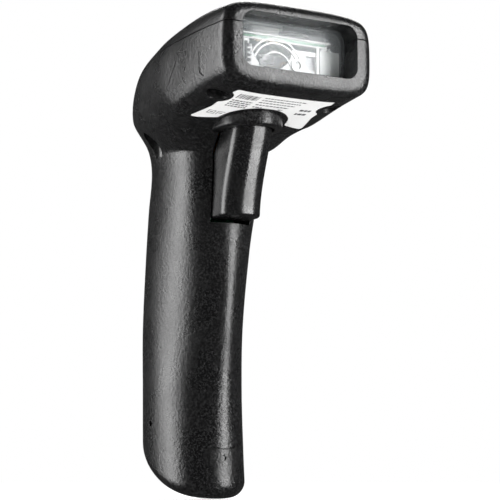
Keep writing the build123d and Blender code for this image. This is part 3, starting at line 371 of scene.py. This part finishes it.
def block_rows(name, slot, rows, body="housing"):
    """One piece from several rows of (count, start, step, size), all in millimetres."""
    bm = bmesh.new()
    for count, start, step, size in rows:
        carrier = bpy.data.objects.new(name, bpy.data.meshes.new(name))
        bpy.context.scene.collection.objects.link(carrier)
        modifier = carrier.modifiers.new("row", "NODES")
        modifier.node_group = BLOCK_ROW
        values = {"Count": count, "Start": [v * MM for v in start], "Step": [v * MM for v in step],
                  "Size": [v * MM for v in size], "Finish": FINISH[slot]}
        for item in BLOCK_ROW.interface.items_tree:
            if item.in_out == "INPUT":
                modifier[item.identifier] = values[item.name]
        carrier.update_tag()
        ready = carrier.evaluated_get(bpy.context.evaluated_depsgraph_get())
        mesh = bpy.data.meshes.new_from_object(ready)
        bm.from_mesh(mesh)
        bpy.data.objects.remove(carrier)
    place_piece(name, bm, slot, body)


def millimetres(vector):
    return [v / MM for v in vector]


# ---- what shows behind the window ----
def arc_wall(bm, x, z, outer, thick, front, back, start=0.0, end=360.0):
    """Upright wall bent round an axis along Y; a whole turn makes a ring. Millimetres and degrees."""
    whole = end - start >= 360
    inner = outer - thick
    count = 48
    rings = []
    for i in range(count + (0 if whole else 1)):
        turn = radians(start + (end - start) * i / count)
        rings.append([bm.verts.new(((x + r * cos(turn)) * MM, y * MM, (z + r * sin(turn)) * MM))
                      for r, y in ((outer, front), (outer, back), (inner, back), (inner, front))])
    pairs = list(zip(rings, rings[1:])) + ([(rings[-1], rings[0])] if whole else [])
    for one, other in pairs:
        for k in range(4):
            m = (k + 1) % 4
            bm.faces.new((one[k], one[m], other[m], other[k]))
    if not whole:
        bm.faces.new(rings[0])
        bm.faces.new(list(reversed(rings[-1])))
    bmesh.ops.recalc_face_normals(bm, faces=bm.faces)


def engine_details():
    left, front, floor = millimetres(CHASSIS_LOW)
    right = CHASSIS_HIGH.x / MM
    board_z = ENGINE_TOP.z / MM
    middle = (left + right) / 2
    block_rows("column_teeth", "chip_black",
               [(5, (left + 1.6, front - 0.3, floor + 2.4), (0, 0, 1.75), (2.0, 0.5, 1.0)),
                (1, (left + 0.9, front - 0.25, floor + 6.0), (0, 0, 1), (0.9, 0.4, 9.6))])
    block_rows("board_edge_strips", "zinc_cast",
               [(1, (middle - 2, front - 0.1, board_z + 0.3), (0, 0, 1), (36.0, 0.6, 0.5)),
                (1, (middle - 3, front - 0.1, board_z - 1.5), (0, 0, 1), (34.0, 0.6, 0.4)),
                (1, (14.0, front - 0.3, floor + 7.0), (0, 0, 1), (1.0, 0.6, 10.4)),
                (1, (9.7, front - 0.1, floor + 2.0), (0, 0, 1), (6.6, 0.4, 0.5))])
    block_rows("engine_shade", "switch_plastic",
               [(1, (-6.2, front - 0.1, floor + 5.2), (0, 0, 1), (5.0, 0.4, 3.4)),
                (1, (-8.4, front - 0.15, floor + 3.9), (0, 0, 1), (2.6, 0.4, 2.4))])
    block_rows("sensor_window", "lamp_clear",
               [(1, (right - 4.6, front - 0.4, floor + 6.6), (0, 0, 1), (8.0, 0.8, 8.6))])
    block_rows("engine_board_pins", "contact_gold",
               [(10, (left + 5, front + 1.2, board_z - 1.5), (1.27, 0, 0), (0.5, 0.5, 0.7))])
    arcs = bmesh.new()
    for outer in (11.2, 9.6, 6.4):
        arc_wall(arcs, -3.0, floor + 2.0, outer, 0.5, front - 0.35, front + 0.2, 18, 158)
    arc_wall(arcs, 5.4, floor + 4.4, 2.4, 0.9, front - 0.8, front + 0.2)
    place_piece("engine_ridges", arcs, "zinc_cast")


engine_details()


# ---- small parts on the main board ----
def board_details():
    back = BOARD_HIGH.y / MM
    rows = []
    for x, z, width, height in ((0, 70, 9, 9), (-5.5, 57, 6, 5), (5.5, 56, 5, 7), (4, 36.5, 6, 5)):
        count = int(height / PIN_PITCH)
        for side in (-1, 1):
            low = z - (count - 1) * PIN_PITCH / 2
            rows.append((count, (x + side * (width / 2 + 0.35), back + 0.15, low),
                         (0, 0, PIN_PITCH), (0.9, 0.3, 0.4)))
    block_rows("chip_pins", "contact_gold", rows)


board_details()


# ---- floor, light and camera ----
def stage_plane(name, size, place, shade, turn=(0, 0, 0)):
    bm = bmesh.new()
    bmesh.ops.create_grid(bm, x_segments=1, y_segments=1, size=size)
    mesh = bpy.data.meshes.new(name)
    bm.to_mesh(mesh)
    bm.free()
    plane = bpy.data.objects.new(name, mesh)
    plane.location, plane.rotation_euler = place, turn
    mesh.materials.append(new_material(f"{name}_paint", Base_Color=(*shade, 1), Roughness=0.9,
                                       Specular_IOR_Level=0.1)[0])
    bpy.context.scene.collection.objects.link(plane)
    return plane


def softbox(name, place, target, size, power):
    light = bpy.data.lights.new(name, "AREA")
    light.shape, light.size, light.size_y, light.energy = "RECTANGLE", *size, power
    lamp = bpy.data.objects.new(name, light)
    lamp.location = place
    lamp.rotation_euler = (Vector(target) - Vector(place)).to_track_quat("-Z", "Y").to_euler()
    bpy.context.scene.collection.objects.link(lamp)
    return lamp


def beside_camera(right, forward, up):
    """A place given from the object's middle, as seen from the camera."""
    yaw = radians(CAMERA_YAW)
    return (right * cos(yaw) + forward * sin(yaw), -right * sin(yaw) + forward * cos(yaw), up)


floor = stage_plane("floor", 4.0, (0, 0, -0.0002), (0.9, 0.9, 0.9))
floor.visible_glossy = False
floor_tree = floor.data.materials[0].node_tree
floor_surface = floor_tree.nodes["Principled BSDF"]
floor_surface.inputs["Emission Color"].default_value = (1, 1, 1, 1)
distance = add_node(floor_tree, "ShaderNodeVectorMath", operation="LENGTH")
floor_tree.links.new(add_node(floor_tree, "ShaderNodeTexCoord").outputs["Object"], distance.inputs[0])
floor_tree.links.new(spread(floor_tree, distance.outputs["Value"], 0.5, 1.0, 0.1, 1.2),
                     floor_surface.inputs["Emission Strength"])

softbox("left_box", beside_camera(-0.66, 0.02, 0.18), MIDDLE, (0.34, 0.8), 6.5)
softbox("right_box", beside_camera(0.62, -0.32, 0.10), MIDDLE, (0.13, 0.8), 8.0)
softbox("back_box", beside_camera(0.05, 0.55, 0.75), MIDDLE, (0.5, 0.5), 4.0)
window_light = softbox("window_light", (0, WINDOW_Y - WINDOW_LIGHT_AHEAD, WINDOW_MIDDLE[2]),
                       WINDOW_MIDDLE, (0.036, 0.012), 0.0009)
window_light.visible_camera = False
window_light.visible_glossy = False

world = bpy.data.worlds.new("studio")
bpy.context.scene.world = world
world.use_nodes = True
sky = world.node_tree
backdrop = sky.nodes["Background"]
backdrop.inputs["Color"].default_value = (1, 1, 1, 1)
dim = add_node(sky, "ShaderNodeBackground", {"Color": (1, 1, 1, 1), "Strength": 0.05})
seen = add_node(sky, "ShaderNodeLightPath")
choose = add_node(sky, "ShaderNodeMixShader")
sky.links.new(seen.outputs["Is Camera Ray"], choose.inputs["Fac"])
sky.links.new(dim.outputs["Background"], choose.inputs[1])
sky.links.new(backdrop.outputs["Background"], choose.inputs[2])
sky.links.new(choose.outputs["Shader"], sky.nodes["World Output"].inputs["Surface"])

eye = bpy.data.cameras.new("camera")
eye.lens, eye.sensor_width, eye.clip_start = CAMERA_LENS, 36.0, 0.01
camera = bpy.data.objects.new("camera", eye)
camera.location = CAMERA_PLACE
camera.rotation_euler = (radians(90 + CAMERA_PITCH), 0, -radians(CAMERA_YAW))
bpy.context.scene.collection.objects.link(camera)
bpy.context.scene.camera = camera
bpy.context.scene.view_settings.view_transform = "Standard"
